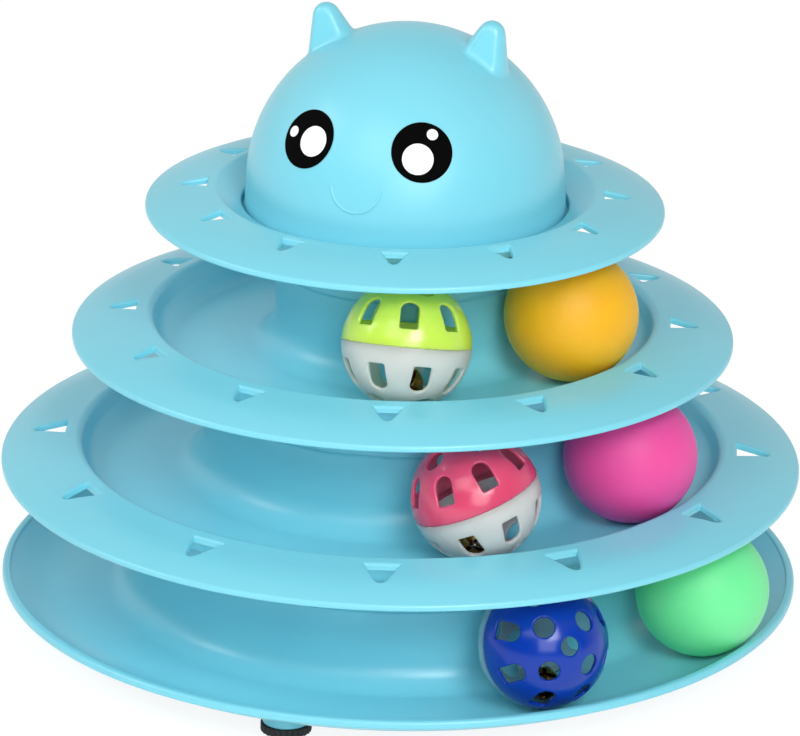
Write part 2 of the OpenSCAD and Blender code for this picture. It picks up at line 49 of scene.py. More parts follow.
def addNode(tree, kind, inputs=None, links=None, **settings):
    node = tree.nodes.new(kind)
    for name, value in settings.items():
        setattr(node, name, value)
    for name, value in (inputs or {}).items():
        node.inputs[name].default_value = value
    for name, socket in (links or {}).items():
        tree.links.new(socket, node.inputs[name])
    return node


def linked(bm, name):
    mesh = bpy.data.meshes.new(name)
    bm.to_mesh(mesh)
    bm.free()
    thing = bpy.data.objects.new(name, mesh)
    bpy.context.scene.collection.objects.link(thing)
    return thing


def settled(thing):
    # the mesh with its modifiers in it, as a bmesh again; the object goes
    graph = bpy.context.evaluated_depsgraph_get()
    mesh = bpy.data.meshes.new_from_object(thing.evaluated_get(graph))
    bm = bmesh.new()
    bm.from_mesh(mesh)
    bpy.data.meshes.remove(mesh)
    bpy.data.objects.remove(thing)
    return bm


def combine(bm, other, operation):
    # exact Boolean of two closed bmeshes
    thing, tool = linked(bm, "work"), linked(other, "tool")
    step = thing.modifiers.new("cut", "BOOLEAN")
    step.operation, step.solver, step.object = operation, "EXACT", tool
    result = settled(thing)
    bpy.data.objects.remove(tool)
    return result


def recast(bm, voxel):
    # even skin of one voxel size, which softens every rim
    thing = linked(bm, "work")
    step = thing.modifiers.new("skin", "REMESH")
    step.mode, step.voxel_size, step.adaptivity = "VOXEL", voxel, 0
    return settled(thing)


def soften(bm, times):
    for _ in range(times):
        bmesh.ops.smooth_vert(bm, verts=bm.verts, factor=0.5, use_axis_x=True, use_axis_y=True, use_axis_z=True)


def closeUp(bm):
    bmesh.ops.remove_doubles(bm, verts=bm.verts, dist=0.0005)
    bmesh.ops.recalc_face_normals(bm, faces=bm.faces)
    return bm


def joinTo(bm, other):
    mesh = bpy.data.meshes.new("join")
    other.to_mesh(mesh)
    other.free()
    bm.from_mesh(mesh)
    bpy.data.meshes.remove(mesh)
    return bm


def finishPiece(bm, name, material, body, nodes, sharp=32, weighted=False):
    bmesh.ops.scale(bm, vec=(0.001, 0.001, 0.001), verts=bm.verts)
    piece = linked(bm, name)
    mesh = piece.data
    mesh.materials.append(material)
    mesh.polygons.foreach_set("use_smooth", [True] * len(mesh.polygons))
    mesh.set_sharp_from_angle(angle=math.radians(sharp))
    if weighted:
        step = piece.modifiers.new("evenShade", "WEIGHTED_NORMAL")
        step.keep_sharp, step.weight = True, 80
    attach(piece, body)
    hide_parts(*nodes)
    return piece


# Outlines: corners are (distance from the axis, height, rounding)

def roundedWire(bm, corners, cut=0):
    count = len(corners)
    spots = [Vector(corner[:2]) for corner in corners]
    verts = [bm.verts.new((spot.x, 0, spot.y)) for spot in spots]
    for i in range(count):
        bm.edges.new((verts[i - 1], verts[i]))
    for i, corner in enumerate(corners):
        if corner[2] <= 0:
            continue
        before, after = spots[i - 1] - spots[i], spots[(i + 1) % count] - spots[i]
        half = before.angle(after) / 2
        reach = corner[2] / math.tan(half)
        for side, other in ((before, corners[i - 1]), (after, corners[(i + 1) % count])):
            reach = min(reach, 0.98 * side.length / (2 if other[2] > 0 else 1))
        turn = 180 - math.degrees(2 * half)
        perStep = 7 if corner[2] > 1.5 else 15   # degrees a facet: small roundings need fewer
        steps = corner[3] if len(corner) > 3 else max(2, round(turn / perStep))
        bmesh.ops.bevel(bm, geom=[verts[i]], offset=reach, offset_type="OFFSET", affect="VERTICES",
                        segments=steps, profile=0.5, clamp_overlap=False, material=-1)
    if cut:
        for edge in [e for e in bm.edges if e.calc_length() > 1.6 * cut]:
            bmesh.ops.subdivide_edges(bm, edges=[edge], cuts=int(edge.calc_length() / cut))
    return bm


def turnRound(bm, degrees=360, steps=360):
    bmesh.ops.spin(bm, geom=bm.verts[:] + bm.edges[:], axis=(0, 0, 1), cent=(0, 0, 0),
                   angle=math.radians(degrees), steps=steps, use_merge=degrees == 360)
    return bm


def grown(corners, out):
    # the same convex outline, moved outwards all round
    count, result = len(corners), []
    for i, corner in enumerate(corners):
        spot = Vector(corner[:2])
        u = (Vector(corners[i - 1][:2]) - spot).normalized()
        v = (Vector(corners[(i + 1) % count][:2]) - spot).normalized()
        moved = spot - (u + v).normalized() * out / math.sin(u.angle(v) / 2)
        result.append((moved.x, moved.y, max(0.2, corner[2] + out), *corner[3:]))
    return result


def flaredPrism(corners, levels, flankCuts=0):
    # stacked copies of an outline, each at a height and moved outwards, bridged and closed
    bm = bmesh.new()
    for height, out in levels:
        ring = roundedWire(bmesh.new(), grown(corners, out))
        if flankCuts:
            longest = sorted(ring.edges, key=lambda e: e.calc_length())[-3:]
            bmesh.ops.subdivide_edges(ring, edges=longest, cuts=flankCuts)
        upright = Matrix.Rotation(math.radians(-90), 3, "X")
        bmesh.ops.rotate(ring, cent=(0, 0, 0), matrix=upright, verts=ring.verts)
        bmesh.ops.translate(ring, vec=(0, 0, height), verts=ring.verts)
        joinTo(bm, ring)
    rings = [[e for e in bm.edges if abs(e.verts[0].co.z - height) < 1e-4] for height, _ in levels]
    for lower, upper in zip(rings, rings[1:]):
        bmesh.ops.bridge_loops(bm, edges=lower + upper)
    bmesh.ops.edgeloop_fill(bm, edges=rings[0])
    bmesh.ops.edgeloop_fill(bm, edges=rings[-1])
    bmesh.ops.recalc_face_normals(bm, faces=bm.faces)
    return bm


def placed(bm, matrix):
    bmesh.ops.transform(bm, matrix=matrix, verts=bm.verts)
    return bm


# Camera, at the photograph's place

view = {"turn": 18.4, "rise": 20.85, "roll": 1.08, "distance": 1664.1, "aim": 58.7,
        "lens": 240.75, "shiftX": -0.0011, "shiftY": 0.0775}

def placeCamera():
    data = bpy.data.cameras.new("photoView")
    data.lens, data.sensor_width = view["lens"], 36
    data.shift_x, data.shift_y = view["shiftX"], view["shiftY"]
    data.clip_start, data.clip_end = 0.05, 50
    camera = bpy.data.objects.new("photoView", data)
    bpy.context.scene.collection.objects.link(camera)
    camera.matrix_world = (
        Matrix.Translation((0, 0, view["aim"] / 1000))
        @ Matrix.Rotation(math.radians(view["turn"]), 4, "Z")
        @ Matrix.Rotation(math.radians(90 - view["rise"]), 4, "X")
        @ Matrix.Translation((0, 0, view["distance"] / 1000))
        @ Matrix.Rotation(math.radians(view["roll"]), 4, "Z"))
    bpy.context.scene.camera = camera

placeCamera()


# Light: a white wall behind, a paler ceiling, a dark camera side with four soft boxes

light = {
    "front": 0.02, "ceiling": 0.38, "behind": 0.76, "aim": 0.08,
    # name, turn from the face, height angle, distance, width, watts
    "boxes": [("keyBox", 38, 34, 1600, 560, 9.5), ("lowBox", 26, 20, 1600, 800, 7.5),
              ("fillBox", -8, 42, 1600, 800, 4.5), ("sideBox", -66, 34, 1600, 600, 5.5)],
}

def lightScene():
    world = bpy.data.worlds.new("studio")
    bpy.context.scene.world = world
    world.use_nodes = True
    tree = world.node_tree
    tree.nodes.clear()
    coords = addNode(tree, "ShaderNodeTexCoord")
    turned = addNode(tree, "ShaderNodeMapping", inputs={"Rotation": (0, 0, -math.radians(view["turn"]))},
                     links={"Vector": coords.outputs["Generated"]})
    split = addNode(tree, "ShaderNodeSeparateXYZ", links={"Vector": turned.outputs["Vector"]})
    ring = addNode(tree, "ShaderNodeMapRange", links={"Value": split.outputs["Y"]}, interpolation_type="SMOOTHSTEP",
                   inputs={"From Min": -0.4, "From Max": 0.4, "To Min": light["front"], "To Max": light["behind"]})
    above = addNode(tree, "ShaderNodeMapRange", links={"Value": split.outputs["Z"]}, interpolation_type="SMOOTHSTEP",
                    inputs={"From Min": 0.35, "From Max": 0.75})
    strength = addNode(tree, "ShaderNodeMix", inputs={3: light["ceiling"]},
                       links={0: above.outputs[0], 2: ring.outputs[0]})
    glow = addNode(tree, "ShaderNodeBackground", inputs={"Color": (1, 1, 1, 1)},
                   links={"Strength": strength.outputs[0]})
    addNode(tree, "ShaderNodeOutputWorld", links={"Surface": glow.outputs[0]})
    for name, turn, rise, distance, width, watts in light["boxes"]:
        data = bpy.data.lights.new(name, "AREA")
        data.energy, data.size = watts, width / 1000
        box = bpy.data.objects.new(name, data)
        bpy.context.scene.collection.objects.link(box)
        box.matrix_world = (
            Matrix.Translation((0, 0, light["aim"]))
            @ Matrix.Rotation(math.radians(turn), 4, "Z")
            @ Matrix.Rotation(math.radians(90 - rise), 4, "X")
            @ Matrix.Translation((0, 0, distance / 1000)))

lightScene()


# Materials

# patch, wave and grain are pattern sizes and waveDepth and grainDepth their heights, all in millimetres;
# glow and glowDepth are the share of light that wanders inside the plastic, and how far; through is the clear share
plastic = {
    # ABS, injection moulded in a polished tool: gloss with a very faint waviness
    "glossAbs": {"colour": "#80d6e7", "shade": "#7bd2e4", "rough": 0.32, "roughVary": 0.05, "ior": 1.52,
                 "patch": 45, "wave": 9, "waveDepth": 0.02, "grain": 0.9, "grainDepth": 0.0015},
    # polypropylene, blow moulded in a sandblasted tool: satin, with a fine even grain
    "orangePolypropylene": {"colour": "#feb81a", "shade": "#fcb212", "rough": 0.52, "roughVary": 0.06, "ior": 1.49,
                            "glow": 1.0, "glowDepth": 16,
                            "patch": 14, "wave": 5, "waveDepth": 0.01, "grain": 0.7, "grainDepth": 0.012},
    "magentaPolypropylene": {"colour": "#ee55a6", "shade": "#e84ea0", "rough": 0.55, "roughVary": 0.08, "ior": 1.49,
                             "glow": 1.0, "glowDepth": 10,
                             "patch": 12, "wave": 4, "waveDepth": 0.012, "grain": 0.8, "grainDepth": 0.03},
    "greenPolypropylene": {"colour": "#7cf0a4", "shade": "#75ec9d", "rough": 0.5, "roughVary": 0.06, "ior": 1.49,
                           "glow": 1.0, "glowDepth": 13,
                           "patch": 14, "wave": 5, "waveDepth": 0.01, "grain": 0.7, "grainDepth": 0.01},
    # polystyrene, injection moulded, thin and a little see-through: bright gloss, soft inner glow
    "limePolystyrene": {"colour": "#ccfb5c", "shade": "#c4f752", "rough": 0.2, "roughVary": 0.04, "ior": 1.58,
                        "glow": 0.7, "glowDepth": 4,
                        "patch": 12, "wave": 5, "waveDepth": 0.012, "grain": 0.8, "grainDepth": 0.001},
    "pinkPolystyrene": {"colour": "#ff4f76", "shade": "#ff476f", "rough": 0.2, "roughVary": 0.04, "ior": 1.58,
                        "glow": 0.8, "glowDepth": 6,
                        "patch": 12, "wave": 5, "waveDepth": 0.012, "grain": 0.8, "grainDepth": 0.001},
    "bluePolystyrene": {"colour": "#063aa8", "shade": "#05359f", "rough": 0.2, "roughVary": 0.04, "ior": 1.58,
                        "specular": 0.3,
                        "patch": 12, "wave": 5, "waveDepth": 0.012, "grain": 0.8, "grainDepth": 0.001},
    "milkyPolystyrene": {"colour": "#f4f8f2", "shade": "#edf3ec", "rough": 0.3, "roughVary": 0.05, "ior": 1.5,
                         "through": 0.3, "glow": 0.9, "glowDepth": 4,
                         "patch": 12, "wave": 5, "waveDepth": 0.012, "grain": 0.8, "grainDepth": 0.001},
    "clearPolystyrene": {"colour": "#dcecf4", "shade": "#d2e6f0", "rough": 0.22, "roughVary": 0.04, "ior": 1.5,
                         "through": 0.75,
                         "patch": 12, "wave": 5, "waveDepth": 0.012, "grain": 0.8, "grainDepth": 0.001},
    # vinyl, screen printed: flat ink under a thin gloss
    "blackInk": {"colour": "#020202", "shade": "#040404", "rough": 0.8, "roughVary": 0.05, "ior": 1.5,
                 "specular": 0.05, "patch": 3, "wave": 3, "waveDepth": 0.003, "grain": 0.5, "grainDepth": 0.001},
    "whiteInk": {"colour": "#ffffff", "shade": "#fbfcfc", "rough": 0.6, "roughVary": 0.05, "ior": 1.5,
                 "patch": 3, "wave": 3, "waveDepth": 0.003, "grain": 0.5, "grainDepth": 0.001},
    # rubber, compression moulded: dull black, with a dusty bloom
    "bloomedRubber": {"colour": "#1b1c1e", "shade": "#2a2b2d", "rough": 0.72, "roughVary": 0.1, "ior": 1.52,
                      "patch": 4, "wave": 2, "waveDepth": 0.02, "grain": 0.4, "grainDepth": 0.02},
}

def makePlastic(name):
    look = plastic[name]
    material = bpy.data.materials.new(name)
    material.use_nodes = True
    tree = material.node_tree
    tree.nodes.clear()
    coords = addNode(tree, "ShaderNodeTexCoord")
    place = coords.outputs["Object"]
    patch = addNode(tree, "ShaderNodeTexNoise", inputs={"Scale": 1000 / look["patch"], "Detail": 3.0},
                    links={"Vector": place})
    colour = addNode(tree, "ShaderNodeMix", inputs={6: toLinear(look["colour"]), 7: toLinear(look["shade"])},
                     links={0: patch.outputs["Fac"]}, data_type="RGBA")
    rough = addNode(tree, "ShaderNodeMapRange", links={"Value": patch.outputs["Fac"]},
                    inputs={"From Min": 0.3, "From Max": 0.7, "To Min": look["rough"] - look["roughVary"] / 2,
                            "To Max": look["rough"] + look["roughVary"] / 2})
    wave = addNode(tree, "ShaderNodeTexNoise", inputs={"Scale": 1000 / look["wave"], "Detail": 1.0},
                   links={"Vector": place})
    grain = addNode(tree, "ShaderNodeTexNoise", inputs={"Scale": 1000 / look["grain"], "Detail": 2.0},
                    links={"Vector": place})
    swell = addNode(tree, "ShaderNodeBump", inputs={"Strength": 1.0, "Distance": look["waveDepth"] / 1000},
                    links={"Height": wave.outputs["Fac"]})
    skin = addNode(tree, "ShaderNodeBump", inputs={"Strength": 1.0, "Distance": look["grainDepth"] / 1000},
                   links={"Height": grain.outputs["Fac"], "Normal": swell.outputs["Normal"]})
    shader = addNode(tree, "ShaderNodeBsdfPrincipled",
                     inputs={"IOR": look["ior"], "Specular IOR Level": look.get("specular", 0.5),
                             "Transmission Weight": look.get("through", 0.0),
                             "Subsurface Weight": look.get("glow", 0.0), "Subsurface Radius": (1.0, 1.0, 1.0),
                             "Subsurface Scale": look.get("glowDepth", 4) / 1000},
                     links={"Base Color": colour.outputs[2], "Roughness": rough.outputs[0],
                            "Normal": skin.outputs["Normal"]})
    addNode(tree, "ShaderNodeOutputMaterial", links={"Surface": shader.outputs[0]})
    return material

metal = {
    # brass-plated steel, stamped and tumbled: dark gold with dull, fingered patches
    "platedBrass": {"colour": "#b08a4e", "shade": "#6f5430", "rough": 0.3, "roughVary": 0.2,
                    "patch": 2.5, "grain": 0.5, "grainDepth": 0.006},
    # carbon steel, cold headed and polished: a plain grey ball
    "polishedSteel": {"colour": "#9a9da1", "shade": "#85888c", "rough": 0.25, "roughVary": 0.1,
                      "patch": 1.5, "grain": 0.4, "grainDepth": 0.002},
}

def makeMetal(name):
    look = metal[name]
    material = bpy.data.materials.new(name)
    material.use_nodes = True
    tree = material.node_tree
    tree.nodes.clear()
    place = addNode(tree, "ShaderNodeTexCoord").outputs["Object"]
    patch = addNode(tree, "ShaderNodeTexNoise", inputs={"Scale": 1000 / look["patch"], "Detail": 4.0},
                    links={"Vector": place})
    colour = addNode(tree, "ShaderNodeMix", inputs={6: toLinear(look["colour"]), 7: toLinear(look["shade"])},
                     links={0: patch.outputs["Fac"]}, data_type="RGBA")
    rough = addNode(tree, "ShaderNodeMapRange", links={"Value": patch.outputs["Fac"]},
                    inputs={"From Min": 0.3, "From Max": 0.7, "To Min": look["rough"] - look["roughVary"] / 2,
                            "To Max": look["rough"] + look["roughVary"] / 2})
    grain = addNode(tree, "ShaderNodeTexNoise", inputs={"Scale": 1000 / look["grain"], "Detail": 2.0},
                    links={"Vector": place})
    skin = addNode(tree, "ShaderNodeBump", inputs={"Strength": 1.0, "Distance": look["grainDepth"] / 1000},
                   links={"Height": grain.outputs["Fac"]})
    shader = addNode(tree, "ShaderNodeBsdfPrincipled", inputs={"Metallic": 1.0},
                     links={"Base Color": colour.outputs[2], "Roughness": rough.outputs[0],
                            "Normal": skin.outputs["Normal"]})
    addNode(tree, "ShaderNodeOutputMaterial", links={"Surface": shader.outputs[0]})
    return material

finish = {name: makePlastic(name) for name in plastic}
finish.update({name: makeMetal(name) for name in metal})
print("materials made")


# Floor: white paper that keeps a soft shadow

floorLook = {"colour": "#ffffff", "white": 0.8, "glow": 1.1, "size": 8.0}

def layFloor():
    bm = bmesh.new()
    bmesh.ops.create_grid(bm, x_segments=8, y_segments=8, size=floorLook["size"] / 2)
    floor = linked(bm, "paperFloor")
    material = bpy.data.materials.new("whitePaper")
    material.use_nodes = True
    tree = material.node_tree
    tree.nodes.clear()
    paper = addNode(tree, "ShaderNodeBsdfDiffuse", inputs={"Color": toLinear(floorLook["colour"])})
    white = addNode(tree, "ShaderNodeEmission", inputs={"Strength": floorLook["glow"]})
    rays = addNode(tree, "ShaderNodeLightPath")
    seen = addNode(tree, "ShaderNodeMath", operation="MAXIMUM",
                   links={0: rays.outputs["Is Camera Ray"], 1: rays.outputs["Is Glossy Ray"]})
    seen = addNode(tree, "ShaderNodeMath", operation="MAXIMUM",
                   links={0: seen.outputs[0], 1: rays.outputs["Is Transmission Ray"]})
    share = addNode(tree, "ShaderNodeMath", operation="MULTIPLY", inputs={1: floorLook["white"]},
                    links={0: seen.outputs[0]})
    both = addNode(tree, "ShaderNodeMixShader", links={0: share.outputs[0], 1: paper.outputs[0], 2: white.outputs[0]})
    addNode(tree, "ShaderNodeOutputMaterial", links={"Surface": both.outputs[0]})
    floor.data.materials.append(material)

layFloor()


# Tower mouldings

moulding = {"wall": 2.0, "chamfer": 0.5, "spigotWall": 1.6, "spigotRise": 6.0, "spigotDrop": 4.0, "play": 0.3,
            "skirtFillet": 0.8, "profileStep": 2.2}

# heights are above the seat for a track, and above the rim for a flange
track = {"floor": 16.1, "rim": 18.2, "hubFillet": 9, "slope": 5, "slopeFillet": 11, "crest": 6.8}
flange = {"shoulder": 8.5, "shoulderRise": 4.75, "bend": 40, "edge": 1, "edgeRound": 1, "crestWidth": 1,
          "crestRound": 2.5}

# lead: degrees that the vents stand further round than in the solids, as the photograph shows them
vents = {"count": 12, "lead": 0.8, "rim": 0.9, "innerCorner": 0.9, "depth": 7, "above": 0.8}

tiers = {
    "lowerTier": {"hub": 61.4, "crest": 100.6, "rim": 124.0, "skirt": 83.0, "seat": 32.0, "seam": 73.0,
                  "vent": {"in": 103.6, "length": 10.6, "width": 13.0, "nose": 3.4},
                  "body": "lower", "node": "lower_tier"},
    "middleTier": {"hub": 39.4, "crest": 78.6, "rim": 102.0, "skirt": 61.4, "seat": 73.0, "seam": 114.0,
                   "vent": {"in": 81.6, "length": 8.9, "width": 11.2, "nose": 3.1},
                   "body": "middle", "node": "middle_tier"},
}

def lineBelow(upper, depth):
    # the mitred parallel one wall under an open line, with roundings about the same centres
    result = []
    for i, corner in enumerate(upper):
        spot = Vector(corner[:2])
        u = (spot - Vector(upper[i - 1][:2])).normalized() if i else None
        v = (Vector(upper[i + 1][:2]) - spot).normalized() if i < len(upper) - 1 else u
        u = u or v
        m, w = Vector((u.y, -u.x)), Vector((v.y, -v.x))
        moved = spot + depth * (m + w) / (1 + m.dot(w))
        bend = corner[2] + math.copysign(depth, u.x * v.y - u.y * v.x) if corner[2] > 0 and v is not u else 0
        result.append((moved.x, moved.y, max(0, bend)))
    return result


def flangeHeight(upper, r):
    # height of an upper line's last corners at a distance from the axis, its wide knee included
    wire = roundedWire(bmesh.new(), upper + [(upper[-1][0], upper[0][1] - 60, 0), (upper[0][0], upper[0][1] - 60, 0)])
    points = sorted((v.co.x, v.co.z) for v in wire.verts if v.co.z > upper[-1][1] - 0.5)
    wire.free()
    for (r0, z0), (r1, z1) in zip(points, points[1:]):
        if r0 <= r <= r1 and r1 > r0:
            return z0 + (z1 - z0) * (r - r0) / (r1 - r0)
    return points[-1][1]


def onCut(vert, degrees):
    # on one of the two flat sides of a slice
    return abs(abs(math.degrees(math.atan2(vert.co.y, vert.co.x))) - degrees) < 0.01


def cutVents(bm, upper, vent):
    # bm is one twelfth of the ring; the vent has a rounded rim that follows the flange
    reach = vent["length"] - vent["nose"]
    flank = math.atan2(vent["width"] / 2, reach) - math.asin(vent["nose"] / math.hypot(reach, vent["width"] / 2))
    half = vent["width"] / 2
    corner, rim = vents["innerCorner"], vents["rim"]
    corners = [(0, -half, corner, 6), (0, half, corner, 6), (half / math.tan(flank), 0, vent["nose"], 12)]
    # the outline is where the flange starts to round down, so the opening itself is narrower
    levels = [(-vents["depth"], -rim), (-rim, -rim), (-rim * 0.62, -rim * 0.924), (-rim * 0.293, -rim * 0.707),
              (-rim * 0.076, -rim * 0.383), (0.02, 0), (vents["above"], rim * 2)]
    tool = flaredPrism(corners, levels, flankCuts=7)
    bmesh.ops.translate(tool, vec=(vent["in"], 0, 0), verts=tool.verts)
    radii = {}
    for vert in tool.verts:
        r = vert.co.xy.length
        key = round(r, 3)
        if key not in radii:
            radii[key] = flangeHeight(upper[-4:], r)
        vert.co.z += radii[key]
    bm = combine(bm, tool, "DIFFERENCE")
    share = 360 / vents["count"]
    caps = [f for f in bm.faces if abs(f.normal.z) < 1e-3 and all(onCut(v, share / 2) for v in f.verts)]
    bmesh.ops.delete(bm, geom=caps, context="FACES")
    turn = Matrix.Rotation(math.radians(share / 2 + vents["lead"]), 3, "Z")
    bmesh.ops.rotate(bm, cent=(0, 0, 0), matrix=turn, verts=bm.verts)
    bmesh.ops.spin(bm, geom=bm.verts[:] + bm.edges[:] + bm.faces[:], axis=(0, 0, 1), cent=(0, 0, 0),
                   angle=math.radians(360 - share), steps=vents["count"] - 1, use_duplicate=True)
    return bm


def twelfth(outline):
    # a closed slice of the ring, half on each side of the X axis, ready for its vent
    bm = roundedWire(bmesh.new(), outline, cut=moulding["profileStep"])
    share = 360 // vents["count"]
    turnRound(bm, share, share)
    middle = sum((Vector((v.co.x, v.co.y)).normalized() for v in bm.verts), Vector((0, 0)))
    turn = Matrix.Rotation(-math.atan2(middle.y, middle.x), 3, "Z")
    bmesh.ops.rotate(bm, cent=(0, 0, 0), matrix=turn, verts=bm.verts)
    bmesh.ops.holes_fill(bm, edges=[e for e in bm.edges if e.is_boundary], sides=0)
    bmesh.ops.recalc_face_normals(bm, faces=bm.faces)
    return bm


def underRim(upper, lower):
    # the rim's lower edge, straight below its upper edge
    (r0, z0, _), (r1, z1, _) = lower[-2:]
    r = upper[-1][0]
    return (r, z0 + (z1 - z0) * (r - r0) / (r1 - r0), flange["edgeRound"])


def flangeLine(rim, rimZ):
    # a flange's upper side, from its shoulder to its rim
    f = flange
    return [(rim - f["shoulder"], rimZ + f["shoulderRise"], f["bend"]), (rim, rimZ + f["edge"], f["edgeRound"])]


def tierLine(t):
    floor, rimZ = t["seat"] + track["floor"], t["seat"] + track["rim"]
    inside = [(t["hub"], t["seam"], 0), (t["hub"], floor, track["hubFillet"]),
              (t["crest"] - track["slope"], floor, track["slopeFillet"]),
              (t["crest"] - flange["crestWidth"], rimZ + track["crest"], flange["crestRound"])]
    return inside + flangeLine(t["rim"], rimZ)


def spigotOutline(hub, seam):
    # from the hub's inner wall round the ring that stands up into the next piece, to the hub's top
    m = moulding
    inner, outer = hub - m["wall"], hub - m["wall"] - m["play"]
    return [(inner, seam - m["spigotDrop"], 0.3), (outer - m["spigotWall"], seam - m["spigotDrop"], 0.3),
            (outer - m["spigotWall"], seam + m["spigotRise"], 0.3), (outer, seam + m["spigotRise"], 0.4),
            (outer, seam - 1, 0), (inner, seam - 1, 0), (inner, seam, 0),
            (hub - m["chamfer"], seam, 0), (hub, seam - m["chamfer"], 0)]


def skirtOutline(outer, foot, head):
    m = moulding
    return [(outer, head, m["skirtFillet"]), (outer, foot + m["chamfer"], 0), (outer - m["chamfer"], foot, 0),
            (outer - m["wall"], foot, 0.3), (outer - m["wall"], head, m["skirtFillet"])]


def makeTier(name):
    t = tiers[name]
    upper = tierLine(t)
    lower = lineBelow(upper, moulding["wall"])
    outline = (upper[1:] + [underRim(upper, lower)] + lower[4:2:-1] + [lower[2]]
               + skirtOutline(t["skirt"], t["seat"], lower[2][1]) + [lower[1]] + spigotOutline(t["hub"], t["seam"]))
    bm = cutVents(twelfth(outline), upper, t["vent"])
    finishPiece(closeUp(bm), name, finish["glossAbs"], t["body"], [t["node"]], weighted=True)

for name in tiers:
    makeTier(name)
print("tiers turned")

disc = {"inner": 37.4, "recess": 50.1, "seat": 131.3, "recessTop": 134.0, "crest": 58.9, "crestWidth": 0.6,
        "crestRise": 6.1, "rim": 79.5, "rimZ": 132.2, "skirt": 39.4, "seam": 114.0,
        "ringIn": 44.5, "ringOut": 46.5, "ringTop": 136.3,
        "vent": {"in": 60.0, "length": 8.4, "width": 10.0, "nose": 2.8}}

def makeDisc():
    d = disc
    upper = [(d["inner"], d["seat"], 0), (d["recess"], d["seat"], 0.6), (d["recess"], d["recessTop"], 1),
             (d["crest"] - d["crestWidth"], d["rimZ"] + d["crestRise"], flange["crestRound"])]
    upper += flangeLine(d["rim"], d["rimZ"])
    lower = lineBelow(upper, moulding["wall"])
    ring = [(d["ringIn"], d["seat"], 0.3), (d["ringIn"], d["ringTop"], 0.3),
            (d["ringOut"], d["ringTop"], 0.4), (d["ringOut"], d["seat"], 0.3)]
    chamfer = moulding["chamfer"]
    skirt = [(d["skirt"], lower[0][1], moulding["skirtFillet"]), (d["skirt"], d["seam"] + chamfer, 0),
             (d["skirt"] - chamfer, d["seam"], 0), (d["inner"], d["seam"], 0.3)]
    outline = upper[:1] + ring + upper[1:] + [underRim(upper, lower)] + lower[4:0:-1] + skirt
    bm = cutVents(twelfth(outline), upper, d["vent"])
    finishPiece(closeUp(bm), "topDisc", finish["glossAbs"], "crown", ["top_disc"],
                weighted=True)

makeDisc()

tray = {"hub": 83.0, "seam": 32.0, "floor": 7.8, "rim": 124.0, "slopeFoot": 112.0, "lipIn": 121.4,
        "lipTop": 14.5, "lipFoot": 12.0, "step": 0.8, "feet": 4, "bossR": 7.1, "bossPlace": 103.0, "bossFoot": 2.7,
        "boreR": 2.6, "boreTop": 5.5}


def footSpot(k):
    turn = Matrix.Rotation(2 * math.pi * k / tray["feet"], 4, "Z")
    return Matrix.Translation(turn @ Vector((0, -tray["bossPlace"], 0)))


def makeTray():
    t = tray
    upper = [(t["hub"], t["seam"], 0), (t["hub"], t["floor"], 8.5), (t["slopeFoot"], t["floor"], 20),
             (t["lipIn"], t["lipTop"] - t["step"], 0)]
    lower = lineBelow(upper, moulding["wall"])
    (r0, z0, _), (r1, z1, _) = lower[2:4]
    tuck = r0 + (r1 - r0) * (t["lipFoot"] - z0) / (z1 - z0)
    lip = [(t["lipIn"], t["lipTop"], 0.7), (t["rim"], t["lipTop"], 1.1), (t["rim"], t["lipFoot"], 0.6),
           (tuck, t["lipFoot"], 0.2)]
    outline = upper[1:] + lip + [lower[2], lower[1]] + spigotOutline(t["hub"], t["seam"])
    bm = turnRound(roundedWire(bmesh.new(), outline, cut=moulding["profileStep"]))
    closeUp(bm)
    # bosses under the track, each with the blind bore that its foot plugs into
    boss = [(t["boreR"], t["bossFoot"], 0.2), (t["bossR"], t["bossFoot"], 0.5), (t["bossR"], t["floor"] - 1, 0),
            (0, t["floor"] - 1, 0), (0, t["boreTop"], 0), (t["boreR"], t["boreTop"], 0.2)]
    for k in range(t["feet"]):
        one = bmesh.new()
        roundedWire(one, boss)
        turnRound(one, steps=64)
        joinTo(bm, placed(closeUp(one), footSpot(k)))
    finishPiece(bm, "baseTray", finish["glossAbs"], "tray", ["base_tray"], weighted=True)

makeTray()
print("tray and disc turned")

pad = {"radius": 7.65, "height": 2.7, "scallops": 26, "bite": 0.38, "edge": 0.25, "plugR": 2.5, "plugTop": 5.2}

def makeFeet():
    for k, name in enumerate(("front", "right", "rear", "left")):
        bm = bmesh.new()
        bmesh.ops.create_circle(bm, cap_ends=True, radius=pad["radius"], segments=pad["scallops"] * 8)
        for vert in bm.verts:   # each scallop is a shallow round bite
            phase = math.atan2(vert.co.y, vert.co.x) * pad["scallops"]
            vert.co *= 1 - pad["bite"] / pad["radius"] * max(0, math.cos(phase)) ** 0.7
        up = bmesh.ops.extrude_face_region(bm, geom=bm.faces[:])
        raised = [g for g in up["geom"] if isinstance(g, bmesh.types.BMVert)]
        bmesh.ops.translate(bm, vec=(0, 0, pad["height"]), verts=raised)
        ends = [e for e in bm.edges if abs(e.verts[0].co.z - e.verts[1].co.z) < 1e-6]
        bmesh.ops.bevel(bm, geom=ends, offset=pad["edge"], affect="EDGES", segments=3, profile=0.5, material=-1,
                        clamp_overlap=True)
        side = [(0, 1, 0), (pad["plugR"], 1, 0), (pad["plugR"], pad["plugTop"], 0.5), (0, pad["plugTop"], 0)]
        joinTo(bm, closeUp(turnRound(roundedWire(bmesh.new(), side), steps=48)))
        bmesh.ops.recalc_face_normals(bm, faces=bm.faces)
        placed(bm, footSpot(k))
        finishPiece(bm, "foot" + name.capitalize(), finish["bloomedRubber"], "tray", ["foot_" + name])

makeFeet()


# Head

